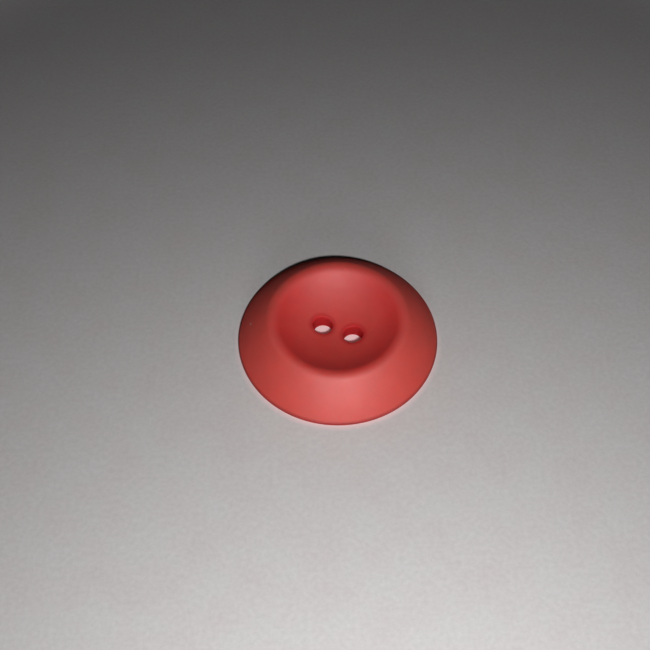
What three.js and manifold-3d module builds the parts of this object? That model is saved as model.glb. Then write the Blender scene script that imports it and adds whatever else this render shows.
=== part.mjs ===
// Large two-hole sew-through coat button: one solid piece of plastic, turned all round.
// Millimetres, +Z up. The button rests on its flat back ring at z = 0, centred on the Z axis.
// From the edge inwards: thin edge, broad steep flank, rolled crest, deep dish, two sewing holes.

import * as THREE from "three";
import { mergeVertices } from "three/addons/utils/BufferGeometryUtils.js";
import Module from "manifold-3d";

// Driving dimensions, in millimetres and degrees. A slope is measured from the horizontal.
const DIAMETER = 34.0;
const EDGE_ROUND = 0.6; // full round at the widest circle
const FLANK_SLOPE_AT_EDGE = 55.5;
const FLANK_SLOPE_AT_CREST = 39.5;
const CREST_DIAMETER = 22.0; // circle through the highest points
const CREST_ROUND_OUTER = 1.8;
const CREST_ROUND_INNER = 1.9;
const DISH_WALL_SLOPE = 41.0; // steepest, just inside the crest
const DISH_WALL_RADIUS = 12.0;
const DISH_FLOOR_SLOPE = 22.8; // where the wall runs into the floor
const WEB_THICKNESS = 2.45; // plastic between dish and hollow back, on the axis
const BACK_RING_INNER_RADIUS = 13.5; // the flat ring runs from here to the edge round
const HOLE_DIAMETER = 3.3;
const HOLE_SPACING = 5.45; // between the two hole centres
const HOLE_TURN = -21.2; // direction of the line of holes, about Z
const HOLE_RIM_ROUND = 0.25;

const TURNS = 96; // facets round the button
const HOLE_TURNS = 32;

const radians = THREE.MathUtils.degToRad;
const outerRadius = DIAMETER / 2;
const crestRadius = CREST_DIAMETER / 2;

// Adds the points of an arc that leaves the last point at one slope and ends at another.
// The walk goes outwards or inwards (side = 1 or -1). A slope is positive where the surface
// falls along the walk, so a rising angle bends down and a falling angle bends up.
function bend(points, side, radius, fromSlope, toSlope, steps) {
  const start = points[points.length - 1];
  const turn = Math.sign(toSlope - fromSlope);
  for (let i = 1; i <= steps; i++) {
    const slope = fromSlope + ((toSlope - fromSlope) * i) / steps;
    const run = radius * turn * (Math.sin(slope) - Math.sin(fromSlope));
    const drop = radius * turn * (Math.cos(fromSlope) - Math.cos(slope));
    points.push(new THREE.Vector2(start.x + side * run, start.y - drop));
  }
}

// Half section of the button, from the middle of the hollow back, round the edge, over the
// crest and down to the middle of the dish.
function buttonSection() {
  const shoulder = radians(FLANK_SLOPE_AT_CREST);
  const foot = radians(FLANK_SLOPE_AT_EDGE);
  const wall = radians(DISH_WALL_SLOPE);
  const floor = radians(DISH_FLOOR_SLOPE);

  // The flank is one large arc that joins crest and edge smoothly.
  const flankRun = outerRadius - crestRadius - CREST_ROUND_OUTER * Math.sin(shoulder)
    - EDGE_ROUND * (1 - Math.sin(foot));
  const flankRadius = flankRun / (Math.sin(foot) - Math.sin(shoulder));
  const crestHeight = EDGE_ROUND
    + EDGE_ROUND * Math.cos(foot)
    + flankRadius * (Math.cos(shoulder) - Math.cos(foot))
    + CREST_ROUND_OUTER * (1 - Math.cos(shoulder));

  // Outwards from the crest and round the edge to the flat back ring.
  const outside = [new THREE.Vector2(crestRadius, crestHeight)];
  bend(outside, 1, CREST_ROUND_OUTER, 0, shoulder, 4);
  bend(outside, 1, flankRadius, shoulder, foot, 5);
  bend(outside, 1, EDGE_ROUND, foot, Math.PI, 6);

  // Inwards from the crest and down the dish to the axis.
  const inside = [new THREE.Vector2(crestRadius, crestHeight)];
  bend(inside, -1, CREST_ROUND_INNER, 0, wall, 5);
  bend(inside, -1, DISH_WALL_RADIUS, wall, floor, 4);
  const floorRadius = inside[inside.length - 1].x / Math.sin(floor);
  bend(inside, -1, floorRadius, floor, 0, 6);
  const dishHeight = inside[inside.length - 1].y;
  inside[inside.length - 1].x = 0;

  // Shallow spherical hollow in the back.
  const hollowDepth = dishHeight - WEB_THICKNESS;
  const hollowRadius = (BACK_RING_INNER_RADIUS ** 2 + hollowDepth ** 2) / (2 * hollowDepth);
  const hollowSlope = Math.asin(BACK_RING_INNER_RADIUS / hollowRadius);
  const back = [new THREE.Vector2(0, hollowDepth)];
  bend(back, 1, hollowRadius, 0, hollowSlope, 5);
  back[back.length - 1].y = 0;

  outside.reverse();
  outside[0].y = 0;
  return {
    section: [...back, ...outside, ...inside.slice(1)],
    dishAt: (radius) => dishHeight + floorRadius - Math.sqrt(floorRadius ** 2 - radius ** 2),
    backAt: (radius) => hollowDepth - hollowRadius + Math.sqrt(hollowRadius ** 2 - radius ** 2),
  };
}

// Half section of the cutter for a sewing hole: a straight wall that flares out in a quarter
// round at each mouth. The mouths are 1 mm above and 1 mm below the middle.
function holeCutterSection() {
  const wallRadius = HOLE_DIAMETER / 2;
  const mouthRadius = wallRadius + HOLE_RIM_ROUND;
  const flare = [];
  for (let i = 0; i <= 5; i++) {
    const angle = (Math.PI / 2) * (i / 5);
    const radius = mouthRadius - HOLE_RIM_ROUND * Math.cos(angle);
    flare.push(new THREE.Vector2(radius, 1 - HOLE_RIM_ROUND * (1 - Math.sin(angle))));
  }
  const upper = [...flare, new THREE.Vector2(mouthRadius, 2), new THREE.Vector2(0, 2)];
  const lower = upper.map((point) => new THREE.Vector2(point.x, -point.y)).reverse();
  return [...lower, ...upper];
}

// Spins a half section about Z and returns it as a closed solid.
function turned(kernel, section, segments) {
  const geometry = new THREE.LatheGeometry(section, segments);
  geometry.rotateX(Math.PI / 2);
  geometry.deleteAttribute("normal");
  geometry.deleteAttribute("uv");
  const merged = mergeVertices(geometry, 1e-5);
  return new kernel.Manifold(new kernel.Mesh({
    numProp: 3,
    vertProperties: new Float32Array(merged.attributes.position.array),
    triVerts: new Uint32Array(merged.index.array),
  }));
}

function toGeometry(solid) {
  const mesh = solid.getMesh();
  const geometry = new THREE.BufferGeometry();
  geometry.setAttribute("position", new THREE.BufferAttribute(mesh.vertProperties, 3));
  geometry.setIndex(new THREE.BufferAttribute(mesh.triVerts, 1));
  geometry.computeVertexNormals();
  return geometry;
}

const kernel = await Module();
kernel.setup();

function buttonBody() {
  const { section, dishAt, backAt } = buttonSection();
  let body = turned(kernel, section, TURNS);
  for (const end of [-1, 1]) {
    const reach = (end * HOLE_SPACING) / 2;
    // Each mouth is moved to the dish or the back, and follows its curve.
    const cutter = turned(kernel, holeCutterSection(), HOLE_TURNS)
      .translate([reach * Math.cos(radians(HOLE_TURN)), reach * Math.sin(radians(HOLE_TURN)), 0])
      .warp((point) => {
        const radius = Math.hypot(point[0], point[1]);
        point[2] += point[2] > 0 ? dishAt(radius) - 1 : backAt(radius) + 1;
      });
    body = body.subtract(cutter);
  }
  const plastic = new THREE.MeshStandardMaterial({
    color: new THREE.Color(0.875, 0.078, 0.058),
    roughness: 0.65,
    metalness: 0.0,
  });
  const mesh = new THREE.Mesh(toGeometry(body), plastic);
  mesh.name = "button_body";
  return mesh;
}

const button = new THREE.Group();
button.name = "sew_on_button";
button.add(buttonBody());

export default button;
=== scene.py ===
"""Large coral-red two-hole coat button lying on pale paper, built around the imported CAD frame."""

import math

import bpy
from mathutils import Matrix, Vector, noise
from mathutils.geometry import delaunay_2d_cdt


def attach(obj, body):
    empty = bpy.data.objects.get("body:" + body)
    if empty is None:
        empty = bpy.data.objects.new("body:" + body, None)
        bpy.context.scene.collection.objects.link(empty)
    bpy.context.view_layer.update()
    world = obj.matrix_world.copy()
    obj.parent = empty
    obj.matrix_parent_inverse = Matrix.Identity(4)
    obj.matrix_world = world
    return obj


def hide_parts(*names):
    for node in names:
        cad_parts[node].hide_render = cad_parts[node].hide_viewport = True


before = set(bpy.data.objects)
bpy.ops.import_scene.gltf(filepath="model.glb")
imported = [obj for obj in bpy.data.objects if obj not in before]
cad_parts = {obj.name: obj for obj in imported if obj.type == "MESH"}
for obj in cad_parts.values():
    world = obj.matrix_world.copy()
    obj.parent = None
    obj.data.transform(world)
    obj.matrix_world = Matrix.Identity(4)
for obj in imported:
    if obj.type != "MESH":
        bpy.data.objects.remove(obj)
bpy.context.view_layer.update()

MM = 0.001

# Driving dimensions of the button, in millimetres and degrees, as in the CAD part.
DIAMETER = 34.0
EDGE_ROUND = 0.6
FLANK_SLOPE_AT_EDGE = 55.5
FLANK_SLOPE_AT_CREST = 39.5
CREST_DIAMETER = 22.0
CREST_ROUND_OUTER = 1.8
CREST_ROUND_INNER = 1.9
DISH_WALL_SLOPE = 41.0
DISH_WALL_RADIUS = 12.0
DISH_FLOOR_SLOPE = 22.8
WEB_THICKNESS = 2.45
BACK_RING_INNER_RADIUS = 13.5
HOLE_DIAMETER = 3.3
HOLE_SPACING = 5.45
HOLE_TURN = -21.2
HOLE_RIM_ROUND = 0.25

# Fineness of the mesh, in millimetres and steps.
MESH_STEP = 0.2  # along the section
TURNS = 384  # round the button
HOLE_TURNS = 72  # round a sewing hole
PATCH_RADIUS = 6.0  # inside this circle the mesh is fitted round the holes
PATCH_MARGIN = 0.12  # between a boundary of the patch and its nearest row of points
ROW_SPACING = 0.9  # of the mesh step, between two rings of points in the patch
FIRST_ROW_SPACING = 0.7  # of the mesh step, along the patch's outermost ring
ROUND_STEPS = 7  # in a small arc
WALL_STEPS = 6  # down a hole's wall

# Coral-red plastic, in linear colour, and how far light travels inside it.
BASE_RED = 0.875
BASE_GREEN = 0.078
BASE_BLUE = 0.058
ROUGHNESS = 0.65
COAT_ROUGHNESS = 0.65
COAT_IOR = 1.7
SCATTER_SCALE = 1.7
SCATTER_GREEN = 0.2
SCATTER_BLUE = 0.14

# Painted shade and painted sheen in the plastic's red: a deeper red in the dish, deepest down its
# wall, stands in for shade, and a paler red from the crest out over the flank stands in for sheen.
# Lengths are in millimetres.
PAINTED_SHADE_AND_SHEEN_BY_RADIUS = [  # share of the outer radius, and the depth of the red there
    (0.0, 1.3),
    (0.35, 1.3),
    (0.52, 2.2),
    (0.58, 2.2),
    (0.68, 0.9),
]
HOLE_SHADE_WIDTH = 0.9  # width of the painted shade, a deeper red, round a sewing hole
# Painted shade: the deeper red of the hole rims and walls.
HOLE_SHADE_COLOUR = (0.66, 0.03, 0.035, 1.0)
HOLE_POLISH = 0.15  # of the polish elsewhere
EDGE_SHADE_WIDTH = 0.34  # width of the painted shade, a darker line, along the edge
EDGE_SHADE_COLOUR = (0.48, 0.03, 0.027, 1.0)
SPECK = (-14.76, 1.06, 3.59)  # a grain of dust on the flank
SPECK_CORE = 0.1
SPECK_RADIUS = 0.28
SPECK_COLOUR = (0.9, 0.55, 0.55, 1.0)

# Texture of the plastic: noise scales are per metre, bump heights in metres.
CLOUD_SCALE = 260.0
CLOUD_CHANGE = 0.04
RUBBED_SCALE = 900.0
RUBBED_CHANGE = 0.07
RUBBED_HEIGHT = 0.00008
GRAIN_SCALE = 5200.0
GRAIN_HEIGHT = 0.00004

# Paper, in linear colour.
PAPER_TONE = 0.743
PAPER_FIBRE_SCALE = 1300.0
PAPER_FIBRE_HEIGHT = 0.0001
PAPER_CLOUD_SCALE = 150.0
PAPER_NEAR_Y = -60.0  # painted light falloff: the paper's colour darkens from near to far
PAPER_FAR_Y = 75.0
PAPER_NEAR_PAINTED_LIGHT = 1.2
PAPER_FAR_PAINTED_LIGHT = 0.72
FLOOR_HALF_SIZE = 0.6  # metres
# Paper at and under the button is painted lighter and pinker, with a faint emission: painted glow
# of light that has passed through the plastic.
GLOW_GREEN = 0.8
GLOW_DARK = (0.92, GLOW_GREEN, GLOW_GREEN, 1.0)
GLOW_LIGHT = (1.0, GLOW_GREEN, GLOW_GREEN, 1.0)
GLOW_START = 17.0
GLOW_END = 17.9
GLOW_STRENGTH = 0.04
GLOW_INNER = 7.0  # the emission fades out between these two radii
GLOW_OUTER = 11.0

# Hand finish: how far the polished surface wanders from a perfect turning.
WANDER_HEIGHT = 0.025
WANDER_LENGTH = 6.0
WANDER_OFFSET = (11.3, 4.1, 7.7)
WANDER_FLOOR = 0.3  # no wander below this height, full wander WANDER_RISE above it
WANDER_RISE = 1.0
WANDER_EDGE = 1.5  # it fades out over this width along the outer edge

# Lights. Azimuth 0 is in front of the button, 90 on its right.
KEY_AZIMUTH = 7.5
KEY_ELEVATION = 50.7
KEY_DISTANCE = 155 * MM
KEY_SIZE = 9 * MM
KEY_POWER = 0.12
FILL_AZIMUTH = 1.5
FILL_ELEVATION = 23.0
FILL_DISTANCE = 191 * MM
FILL_SIZE = 60 * MM
FILL_POWER = 0.0437
HOLE_LIGHT_AZIMUTH = 4.8
HOLE_LIGHT_ELEVATION = 52.8
HOLE_LIGHT_POWER = 0.22
HOLE_LIGHT_COLOUR = (1.0, 0.8, 0.82)
HOLE_LIGHT_SIZE = 0.5 * MM
HOLE_LIGHT_SPREAD = 4.6
HOLE_LIGHT_BLEND = 0.3
WORLD_STRENGTH = 0.0053  # what lights the object
BACKDROP = 0.3  # what the camera sees of the world
BACKDROP_COLOUR = (1.0, 0.98, 0.97, 1.0)
BACKDROP_START = 100.0  # the paper fades into the backdrop between these two radii
BACKDROP_END = 200.0

# Camera.
CAMERA_ELEVATION = 56.0
CAMERA_DISTANCE = 180 * MM
CAMERA_ROLL = -0.9
CAMERA_LENS = 58.02
CAMERA_CLIP = 0.01  # metres
AIM_RIGHT = -2.165 * MM  # the button sits a little right of and below the picture's middle
AIM_UP = 2.51 * MM


# ---------------------------------------------------------------- the section of the button


def arc(points, side, radius, start_slope, end_slope):
    """Adds an arc from the last point, walking outwards (side 1) or inwards (side -1).

    A slope is positive where the surface falls along the walk."""
    r0, z0 = points[-1]
    a, b = math.radians(start_slope), math.radians(end_slope)
    turn = 1 if b > a else -1
    steps = max(ROUND_STEPS, math.ceil(radius * abs(b - a) / MESH_STEP))
    for i in range(1, steps + 1):
        slope = a + (b - a) * i / steps
        run = radius * turn * (math.sin(slope) - math.sin(a))
        drop = radius * turn * (math.cos(a) - math.cos(slope))
        points.append((r0 + side * run, z0 - drop))


def sine(degrees):
    return math.sin(math.radians(degrees))


def cosine(degrees):
    return math.cos(math.radians(degrees))


class Section:
    """Half section: the front from the patch circle out to the edge, and the back again."""

    def __init__(self):
        crest_radius = CREST_DIAMETER / 2
        flank_run = (
            DIAMETER / 2
            - crest_radius
            - CREST_ROUND_OUTER * sine(FLANK_SLOPE_AT_CREST)
            - EDGE_ROUND * (1 - sine(FLANK_SLOPE_AT_EDGE))
        )
        flank_radius = flank_run / (sine(FLANK_SLOPE_AT_EDGE) - sine(FLANK_SLOPE_AT_CREST))
        crest_height = (
            EDGE_ROUND * (1 + cosine(FLANK_SLOPE_AT_EDGE))
            + flank_radius * (cosine(FLANK_SLOPE_AT_CREST) - cosine(FLANK_SLOPE_AT_EDGE))
            + CREST_ROUND_OUTER * (1 - cosine(FLANK_SLOPE_AT_CREST))
        )
        crest = (crest_radius, crest_height)

        outside = [crest]
        arc(outside, 1, CREST_ROUND_OUTER, 0, FLANK_SLOPE_AT_CREST)
        arc(outside, 1, flank_radius, FLANK_SLOPE_AT_CREST, FLANK_SLOPE_AT_EDGE)
        arc(outside, 1, EDGE_ROUND, FLANK_SLOPE_AT_EDGE, 180)

        inside = [crest]
        arc(inside, -1, CREST_ROUND_INNER, 0, DISH_WALL_SLOPE)
        arc(inside, -1, DISH_WALL_RADIUS, DISH_WALL_SLOPE, DISH_FLOOR_SLOPE)
        floor_edge_radius, floor_edge_height = inside[-1]
        self.floor_radius = floor_edge_radius / sine(DISH_FLOOR_SLOPE)
        self.dish_height = floor_edge_height - self.floor_radius * (1 - cosine(DISH_FLOOR_SLOPE))
        self.hollow_depth = self.dish_height - WEB_THICKNESS
        self.hollow_radius = (
            BACK_RING_INNER_RADIUS**2 + self.hollow_depth**2
        ) / (2 * self.hollow_depth)

        self.front = self.floor_walk(floor_edge_radius, self.front_height)
        self.front += inside[:0:-1] + outside[:-1]
        ring_outer = outside[-1][0]
        self.back = [(ring_outer, 0.0)]
        ring_steps = math.ceil((ring_outer - BACK_RING_INNER_RADIUS) / MESH_STEP)
        for i in range(1, ring_steps):
            radius = ring_outer + (BACK_RING_INNER_RADIUS - ring_outer) * (i / ring_steps)
            self.back.append((radius, 0.0))
        self.back += self.floor_walk(BACK_RING_INNER_RADIUS, self.back_height, whole=True)[::-1]

    def front_height(self, radius):
        """Height of the dish floor at a radius within the floor's arc."""
        return self.dish_height + self.floor_radius - math.sqrt(self.floor_radius**2 - radius**2)

    def back_height(self, radius):
        """Height of the shallow hollow in the back."""
        fall = self.hollow_radius - math.sqrt(self.hollow_radius**2 - radius**2)
        return self.hollow_depth - fall

    def floor_walk(self, end_radius, height, whole=False):
        """Points outwards from the patch circle, leaving out the circle itself."""
        steps = math.ceil((end_radius - PATCH_RADIUS) / MESH_STEP)
        last = steps if whole else steps - 1
        radii = [PATCH_RADIUS + (end_radius - PATCH_RADIUS) * i / steps for i in range(1, last + 1)]
        return [(radius, height(radius)) for radius in radii]


# ---------------------------------------------------------------- the mesh


def hole_centres():
    reach = HOLE_SPACING / 2
    return [
        (end * reach * cosine(HOLE_TURN), end * reach * sine(HOLE_TURN)) for end in (-1, 1)
    ]


def circle(centre, radius, count, offset=0.0):
    return [
        (
            centre[0] + radius * math.cos(2 * math.pi * (k + offset) / count),
            centre[1] + radius * math.sin(2 * math.pi * (k + offset) / count),
        )
        for k in range(count)
    ]


def patch_plan():
    """Plan of the patch: points, and triangles that leave the two holes open.

    The first TURNS points are the patch circle, and then come the rims of the holes."""
    wall = HOLE_DIAMETER / 2
    plan = circle((0, 0), PATCH_RADIUS, TURNS)
    for centre in hole_centres():
        plan += circle(centre, wall, HOLE_TURNS)
    for centre in hole_centres():
        for i in range(1, ROUND_STEPS + 1):
            angle = math.pi / 2 * i / ROUND_STEPS
            plan += circle(centre, wall + HOLE_RIM_ROUND * (1 - math.cos(angle)), HOLE_TURNS)
        plan += circle(centre, wall + HOLE_RIM_ROUND + PATCH_MARGIN, HOLE_TURNS, 0.5)
    clear = wall + HOLE_RIM_ROUND + 2 * PATCH_MARGIN
    ring_radius = PATCH_RADIUS - PATCH_MARGIN
    row = 0
    while ring_radius > 0:
        step = MESH_STEP * (1 if row else FIRST_ROW_SPACING)
        count = max(6, round(2 * math.pi * ring_radius / step))
        for point in circle((0, 0), ring_radius, count, 0.5 * (row % 2)):
            if all(math.dist(point, centre) > clear for centre in hole_centres()):
                plan.append(point)
        ring_radius -= MESH_STEP * ROW_SPACING
        row += 1
    found = delaunay_2d_cdt([Vector(p) for p in plan], [], [], 0, 1e-9)
    order = [origins[0] for origins in found[3]]
    triangles = []
    for face in found[2]:
        corners = [order[k] for k in face]
        middle = [sum(plan[k][axis] for k in corners) / 3 for axis in (0, 1)]
        if all(math.dist(middle, centre) > wall * 0.999 for centre in hole_centres()):
            triangles.append(corners)
    return plan, triangles


def rim_fall(point):
    """How far the rounded rim of a sewing hole lies below the surface around it."""
    mouth = HOLE_DIAMETER / 2 + HOLE_RIM_ROUND
    nearest = min(math.dist(point, centre) for centre in hole_centres())
    inward = min(max(mouth - nearest, 0.0), HOLE_RIM_ROUND)
    return HOLE_RIM_ROUND - math.sqrt(HOLE_RIM_ROUND**2 - inward**2)


def button_mesh():
    section = Section()
    vertices, faces = [], []

    # Patch round the holes, once for the dish floor and once for the back.
    plan, triangles = patch_plan()
    for x, y in plan:
        height = section.front_height(math.hypot(x, y)) - rim_fall((x, y))
        vertices.append((x, y, height))
    for x, y in plan:
        height = section.back_height(math.hypot(x, y)) + rim_fall((x, y))
        vertices.append((x, y, height))
    back_start = len(plan)
    for a, b, c in triangles:
        faces.append((a, b, c))
        faces.append((c + back_start, b + back_start, a + back_start))

    def join_rings(upper, lower, count):
        for k in range(count):
            n = (k + 1) % count
            faces.append((upper[k], lower[k], lower[n], upper[n]))

    # Straight walls of the sewing holes.
    for hole in range(2):
        top = [TURNS + hole * HOLE_TURNS + k for k in range(HOLE_TURNS)]
        bottom = [k + back_start for k in top]
        above = top
        for step in range(1, WALL_STEPS):
            share = step / WALL_STEPS
            ring = range(len(vertices), len(vertices) + HOLE_TURNS)
            for k in range(HOLE_TURNS):
                x, y, high = vertices[top[k]]
                low = vertices[bottom[k]][2]
                vertices.append((x, y, high + (low - high) * share))
            join_rings(list(ring), above, HOLE_TURNS)
            above = list(ring)
        join_rings(bottom, above, HOLE_TURNS)

    # The turned body, from the patch out over the crest, round the edge and in along the back.
    previous = list(range(TURNS))
    for radius, height in section.front + section.back:
        ring = list(range(len(vertices), len(vertices) + TURNS))
        vertices += [(x, y, height) for x, y in circle((0, 0), radius, TURNS)]
        join_rings(previous, ring, TURNS)
        previous = ring
    join_rings(previous, [k + back_start for k in range(TURNS)], TURNS)
    return vertices, faces


def wander(x, y, z):
    """Small slow unevenness of a polished surface. It fades out near the base and the edge."""
    place = Vector((x, y, z)) / WANDER_LENGTH
    fade = min(max((z - WANDER_FLOOR) / WANDER_RISE, 0.0), 1.0)
    edge_fade = min(max((DIAMETER / 2 - math.hypot(x, y)) / WANDER_EDGE, 0.0), 1.0)
    return WANDER_HEIGHT * fade * edge_fade * noise.noise(place + Vector(WANDER_OFFSET))


def make_button():
    vertices, faces = button_mesh()
    placed = [(x * MM, y * MM, (z + wander(x, y, z)) * MM) for x, y, z in vertices]
    mesh = bpy.data.meshes.new("button")
    mesh.from_pydata(placed, [], faces)
    mesh.validate()
    mesh.polygons.foreach_set("use_smooth", [True] * len(mesh.polygons))
    piece = bpy.data.objects.new("button", mesh)
    bpy.context.scene.collection.objects.link(piece)
    return piece


# ---------------------------------------------------------------- materials


def vector_node(tree, operation, vector, other=None):
    made = tree.nodes.new("ShaderNodeVectorMath")
    made.operation = operation
    tree.links.new(vector, made.inputs[0])
    if other is not None:
        made.inputs[1].default_value = other
    return made


def blend_node(tree, share, first, second):
    """Blends two colours. Each is a link from another node, or a plain colour."""
    made = tree.nodes.new("ShaderNodeMix")
    made.data_type = "RGBA"
    colours = [socket for socket in made.inputs if socket.type == "RGBA"]
    tree.links.new(share, next(socket for socket in made.inputs if socket.type == "VALUE"))
    for socket, colour in zip(colours, (first, second)):
        if isinstance(colour, tuple):
            socket.default_value = colour
        else:
            tree.links.new(colour, socket)
    return next(socket for socket in made.outputs if socket.type == "RGBA")


def noise_node(tree, coordinates, scale, detail, roughness=0.5, distortion=0.0):
    made = tree.nodes.new("ShaderNodeTexNoise")
    made.inputs["Scale"].default_value = scale
    made.inputs["Detail"].default_value = detail
    made.inputs["Roughness"].default_value = roughness
    made.inputs["Distortion"].default_value = distortion
    tree.links.new(coordinates, made.inputs["Vector"])
    return made


def ramp_node(tree, source, stops):
    made = tree.nodes.new("ShaderNodeValToRGB")
    elements = made.color_ramp.elements
    ordered = sorted(stops)
    elements[0].position, elements[0].color = ordered[0]
    elements[1].position, elements[1].color = ordered[-1]
    for place, colour in ordered[1:-1]:
        elements.new(place).color = colour
    tree.links.new(source, made.inputs["Fac"])
    return made


def range_node(tree, source, low, high, to_low, to_high):
    made = tree.nodes.new("ShaderNodeMapRange")
    made.inputs["From Min"].default_value = low
    made.inputs["From Max"].default_value = high
    made.inputs["To Min"].default_value = to_low
    made.inputs["To Max"].default_value = to_high
    tree.links.new(source, made.inputs["Value"])
    return made


def bump_node(tree, height, strength, distance, below=None):
    made = tree.nodes.new("ShaderNodeBump")
    made.inputs["Strength"].default_value = strength
    made.inputs["Distance"].default_value = distance
    tree.links.new(height, made.inputs["Height"])
    if below is not None:
        tree.links.new(below, made.inputs["Normal"])
    return made


def shade_or_sheen_red(depth):
    """The plastic's colour at a painted depth. A depth above 1 is a deeper red, painted shade; a
    depth below 1 is a paler red, painted sheen.
    """
    return (BASE_RED, BASE_GREEN / depth, BASE_BLUE / depth, 1.0)


def button_plastic():
    """Coral-red cast plastic, a little translucent, with a worn semi-matte polish. Its colour holds
    painted shade in the dish, round the holes and along the edge, and painted sheen on the flank.
    """
    material = bpy.data.materials.new("button_plastic")
    material.use_nodes = True
    tree = material.node_tree
    shader = tree.nodes["Principled BSDF"]
    place = tree.nodes.new("ShaderNodeTexCoord").outputs["Object"]

    clouds = noise_node(tree, place, CLOUD_SCALE, 3.0, 0.55, 0.4)
    tone = range_node(
        tree, clouds.outputs["Fac"], 0.3, 0.7, 1 - CLOUD_CHANGE, 1 + CLOUD_CHANGE
    )
    plan = vector_node(tree, "MULTIPLY", place, (1.0, 1.0, 0.0)).outputs["Vector"]
    radius = vector_node(tree, "LENGTH", plan).outputs["Value"]
    outwards = range_node(tree, radius, 0.0, DIAMETER / 2 * MM, 0.0, 1.0)
    # Painted shade and sheen: the red is deeper in the dish and down its wall, and paler on the
    # flank.
    shade_and_sheen_rings = ramp_node(
        tree,
        outwards.outputs["Result"],
        [(share, shade_or_sheen_red(depth)) for share, depth in PAINTED_SHADE_AND_SHEEN_BY_RADIUS],
    )
    body = vector_node(tree, "SCALE", shade_and_sheen_rings.outputs["Color"])
    tree.links.new(tone.outputs["Result"], body.inputs["Scale"])

    # Rims and walls of the sewing holes are painted a deeper red, as painted shade, and have little
    # polish.
    nearest = tree.nodes.new("ShaderNodeMath")
    nearest.operation = "MINIMUM"
    for socket, (x, y) in zip(nearest.inputs, hole_centres()):
        away = vector_node(tree, "DISTANCE", plan, (x * MM, y * MM, 0.0))
        tree.links.new(away.outputs["Value"], socket)
    wall = HOLE_DIAMETER / 2 * MM
    rim = range_node(tree, nearest.outputs["Value"], wall, wall + HOLE_SHADE_WIDTH * MM, 1.0, 0.0)
    hole_shaded = blend_node(tree, rim.outputs["Result"], body.outputs["Vector"], HOLE_SHADE_COLOUR)

    # The thin edge, where the surface turns under, is painted darker: painted shade.
    edge_start = (DIAMETER / 2 - EDGE_SHADE_WIDTH) * MM
    edge = range_node(tree, radius, edge_start, DIAMETER / 2 * MM, 0.0, 1.0)
    edge_shaded = blend_node(tree, edge.outputs["Result"], hole_shaded, EDGE_SHADE_COLOUR)

    # One small pale speck of dust on the left of the flank.
    from_speck = vector_node(tree, "DISTANCE", place, tuple(k * MM for k in SPECK))
    speck = range_node(
        tree, from_speck.outputs["Value"], SPECK_CORE * MM, SPECK_RADIUS * MM, 1.0, 0.0
    )
    marked = blend_node(tree, speck.outputs["Result"], edge_shaded, SPECK_COLOUR)
    tree.links.new(marked, shader.inputs["Base Color"])

    polish = range_node(tree, rim.outputs["Result"], 0.0, 1.0, 1.0, HOLE_POLISH)
    tree.links.new(polish.outputs["Result"], shader.inputs["Specular IOR Level"])
    tree.links.new(polish.outputs["Result"], shader.inputs["Coat Weight"])
    shader.inputs["Coat Roughness"].default_value = COAT_ROUGHNESS
    shader.inputs["Coat IOR"].default_value = COAT_IOR

    rubbed = noise_node(tree, place, RUBBED_SCALE, 4.0, 0.6)
    smoother, rougher = ROUGHNESS - RUBBED_CHANGE, ROUGHNESS + RUBBED_CHANGE
    gloss = range_node(tree, rubbed.outputs["Fac"], 0.3, 0.7, smoother, rougher)
    tree.links.new(gloss.outputs["Result"], shader.inputs["Roughness"])

    grain = noise_node(tree, place, GRAIN_SCALE, 3.0, 0.6)
    fine = bump_node(tree, grain.outputs["Fac"], 0.4, GRAIN_HEIGHT)
    ripple = bump_node(
        tree, rubbed.outputs["Fac"], 0.2, RUBBED_HEIGHT, fine.outputs["Normal"]
    )
    tree.links.new(ripple.outputs["Normal"], shader.inputs["Normal"])

    shader.inputs["IOR"].default_value = 1.5
    shader.inputs["Subsurface Weight"].default_value = 1.0
    shader.inputs["Subsurface Radius"].default_value = (1.0, SCATTER_GREEN, SCATTER_BLUE)
    shader.inputs["Subsurface Scale"].default_value = SCATTER_SCALE * MM
    return material


def paper_tone(lighter, warmer=0.0):
    """A paper colour, lighter than the usual tone and shifted towards red."""
    tone = PAPER_TONE + lighter
    return (tone + warmer, tone - 0.015 - warmer, tone - 0.02 - warmer, 1.0)


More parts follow.
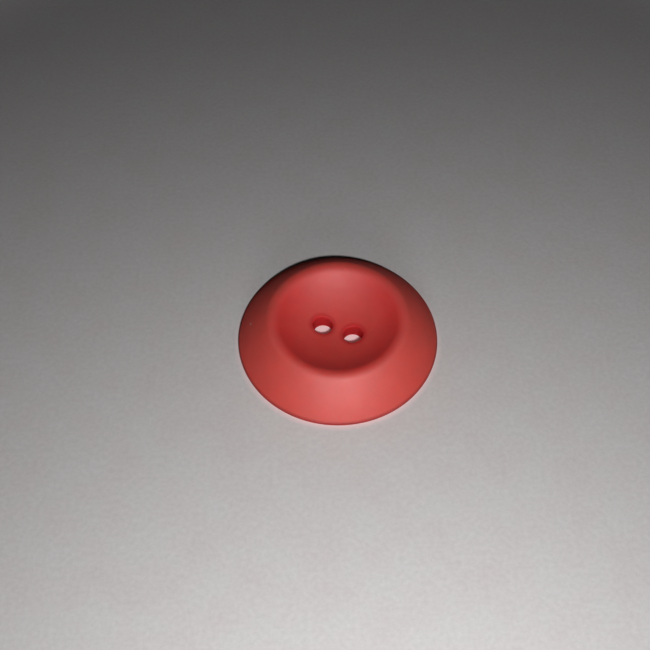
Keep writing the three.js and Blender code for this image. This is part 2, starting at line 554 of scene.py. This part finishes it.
def paper():
    """Pale plain paper with a faint fibre. Its colour holds a painted light falloff from near to
    far, and a painted pink glow next to and under the button.
    """
    material = bpy.data.materials.new("paper")
    material.use_nodes = True
    tree = material.node_tree
    shader = tree.nodes["Principled BSDF"]
    place = tree.nodes.new("ShaderNodeTexCoord").outputs["Object"]
    fibre = noise_node(tree, place, PAPER_FIBRE_SCALE, 5.0, 0.6)
    cloud = noise_node(tree, place, PAPER_CLOUD_SCALE, 3.0, 0.6)
    plain = ramp_node(
        tree, fibre.outputs["Fac"], [(0.3, paper_tone(-0.04)), (0.7, paper_tone(0.04))]
    )
    warm = ramp_node(
        tree,
        fibre.outputs["Fac"],
        [(0.3, paper_tone(-0.06, 0.012)), (0.7, paper_tone(0.02, 0.012))],
    )
    patches = range_node(tree, cloud.outputs["Fac"], 0.35, 0.65, 0.0, 1.0)
    colour = blend_node(
        tree, patches.outputs["Result"], plain.outputs["Color"], warm.outputs["Color"]
    )
    # Painted glow: lighter, pinker paper at and under the button.
    glowing = ramp_node(tree, fibre.outputs["Fac"], [(0.3, GLOW_DARK), (0.7, GLOW_LIGHT)])
    radius = vector_node(tree, "LENGTH", place).outputs["Value"]
    glow = range_node(tree, radius, GLOW_START * MM, GLOW_END * MM, 1.0, 0.0)
    painted_glow_colour = blend_node(tree, glow.outputs["Result"], colour, glowing.outputs["Color"])
    shaded = vector_node(tree, "SCALE", painted_glow_colour)
    # Painted light falloff: the paper's colour is scaled darker from near to far.
    across = tree.nodes.new("ShaderNodeSeparateXYZ")
    tree.links.new(place, across.inputs["Vector"])
    near, far = PAPER_NEAR_Y * MM, PAPER_FAR_Y * MM
    painted_falloff = range_node(
        tree, across.outputs["Y"], near, far, PAPER_NEAR_PAINTED_LIGHT, PAPER_FAR_PAINTED_LIGHT
    )
    tree.links.new(painted_falloff.outputs["Result"], shaded.inputs["Scale"])
    tree.links.new(shaded.outputs["Vector"], shader.inputs["Base Color"])

    # Far from the button the paper fades into the backdrop. Under it, a faint emission makes the
    # paper shine: painted glow.
    distant = range_node(tree, radius, BACKDROP_START * MM, BACKDROP_END * MM, 0.0, BACKDROP)
    distant.interpolation_type = "SMOOTHSTEP"
    under = range_node(tree, radius, GLOW_INNER * MM, GLOW_OUTER * MM, GLOW_STRENGTH, 0.0)
    shine = tree.nodes.new("ShaderNodeMath")
    shine.operation = "ADD"
    tree.links.new(distant.outputs["Result"], shine.inputs[0])
    tree.links.new(under.outputs["Result"], shine.inputs[1])
    tree.links.new(shine.outputs["Value"], shader.inputs["Emission Strength"])
    shine_colour = blend_node(tree, glow.outputs["Result"], BACKDROP_COLOUR, GLOW_LIGHT)
    tree.links.new(shine_colour, shader.inputs["Emission Color"])
    bump = bump_node(tree, fibre.outputs["Fac"], 0.3, PAPER_FIBRE_HEIGHT)
    tree.links.new(bump.outputs["Normal"], shader.inputs["Normal"])
    shader.inputs["Roughness"].default_value = 0.9
    return material


# ---------------------------------------------------------------- stage, lights and camera


def make_floor():
    half = FLOOR_HALF_SIZE
    mesh = bpy.data.meshes.new("floor")
    mesh.from_pydata(
        [(-half, -half, 0), (half, -half, 0), (half, half, 0), (-half, half, 0)],
        [],
        [(0, 1, 2, 3)],
    )
    floor = bpy.data.objects.new("floor", mesh)
    bpy.context.scene.collection.objects.link(floor)
    mesh.materials.append(paper())
    floor.visible_glossy = False
    return floor


def towards(azimuth, elevation):
    """Unit vector from the button to a viewer. Azimuth 0 is in front, 90 on the right."""
    flat = cosine(elevation)
    return Vector((flat * sine(azimuth), -flat * cosine(azimuth), sine(elevation)))


def add_light(name, kind, azimuth, elevation, distance, power):
    """Adds a light that shines at the middle of the button's base."""
    data = bpy.data.lights.new(name, kind)
    data.energy = power
    light = bpy.data.objects.new(name, data)
    place = towards(azimuth, elevation) * distance
    turn = (-place).to_track_quat("-Z", "Y").to_matrix().to_4x4()
    light.matrix_world = Matrix.Translation(place) @ turn
    bpy.context.scene.collection.objects.link(light)
    return light


def area_light(name, azimuth, elevation, distance, size, power):
    light = add_light(name, "AREA", azimuth, elevation, distance, power)
    light.data.shape = "DISK"
    light.data.size = size


def hole_light(floor):
    """Narrow light from near the camera's side. It lights only the floor, through the holes."""
    light = add_light(
        "hole_light",
        "SPOT",
        HOLE_LIGHT_AZIMUTH,
        HOLE_LIGHT_ELEVATION,
        CAMERA_DISTANCE,
        HOLE_LIGHT_POWER,
    )
    light.data.color = HOLE_LIGHT_COLOUR
    light.data.shadow_soft_size = HOLE_LIGHT_SIZE
    light.data.spot_size = math.radians(HOLE_LIGHT_SPREAD)
    light.data.spot_blend = HOLE_LIGHT_BLEND
    lit = bpy.data.collections.new("lit_by_hole_light")
    lit.objects.link(floor)
    light.light_linking.receiver_collection = lit


def make_world():
    world = bpy.data.worlds.new("studio")
    world.use_nodes = True
    tree = world.node_tree
    background = tree.nodes["Background"]
    background.inputs["Color"].default_value = BACKDROP_COLOUR
    seen = tree.nodes.new("ShaderNodeLightPath").outputs["Is Camera Ray"]
    strength = range_node(tree, seen, 0.0, 1.0, WORLD_STRENGTH, BACKDROP)
    tree.links.new(strength.outputs["Result"], background.inputs["Strength"])
    bpy.context.scene.world = world


def make_camera():
    back = towards(0, CAMERA_ELEVATION)
    right = Vector((1, 0, 0))
    up = back.cross(right)
    aim = right * AIM_RIGHT + up * AIM_UP
    turn = Matrix.Rotation(math.radians(-CAMERA_ROLL), 4, -back)
    data = bpy.data.cameras.new("camera")
    data.lens = CAMERA_LENS
    data.clip_start = CAMERA_CLIP
    camera = bpy.data.objects.new("camera", data)
    looking = Matrix((right, up, back)).transposed().to_4x4()
    camera.matrix_world = Matrix.Translation(aim + back * CAMERA_DISTANCE) @ turn @ looking
    bpy.context.scene.collection.objects.link(camera)
    bpy.context.scene.camera = camera


make_camera()
make_world()
bpy.context.scene.view_settings.view_transform = "Standard"
area_light("key", KEY_AZIMUTH, KEY_ELEVATION, KEY_DISTANCE, KEY_SIZE, KEY_POWER)
area_light("fill", FILL_AZIMUTH, FILL_ELEVATION, FILL_DISTANCE, FILL_SIZE, FILL_POWER)
hole_light(make_floor())

button = make_button()
button.data.materials.append(button_plastic())
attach(button, "root")
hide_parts("button_body")
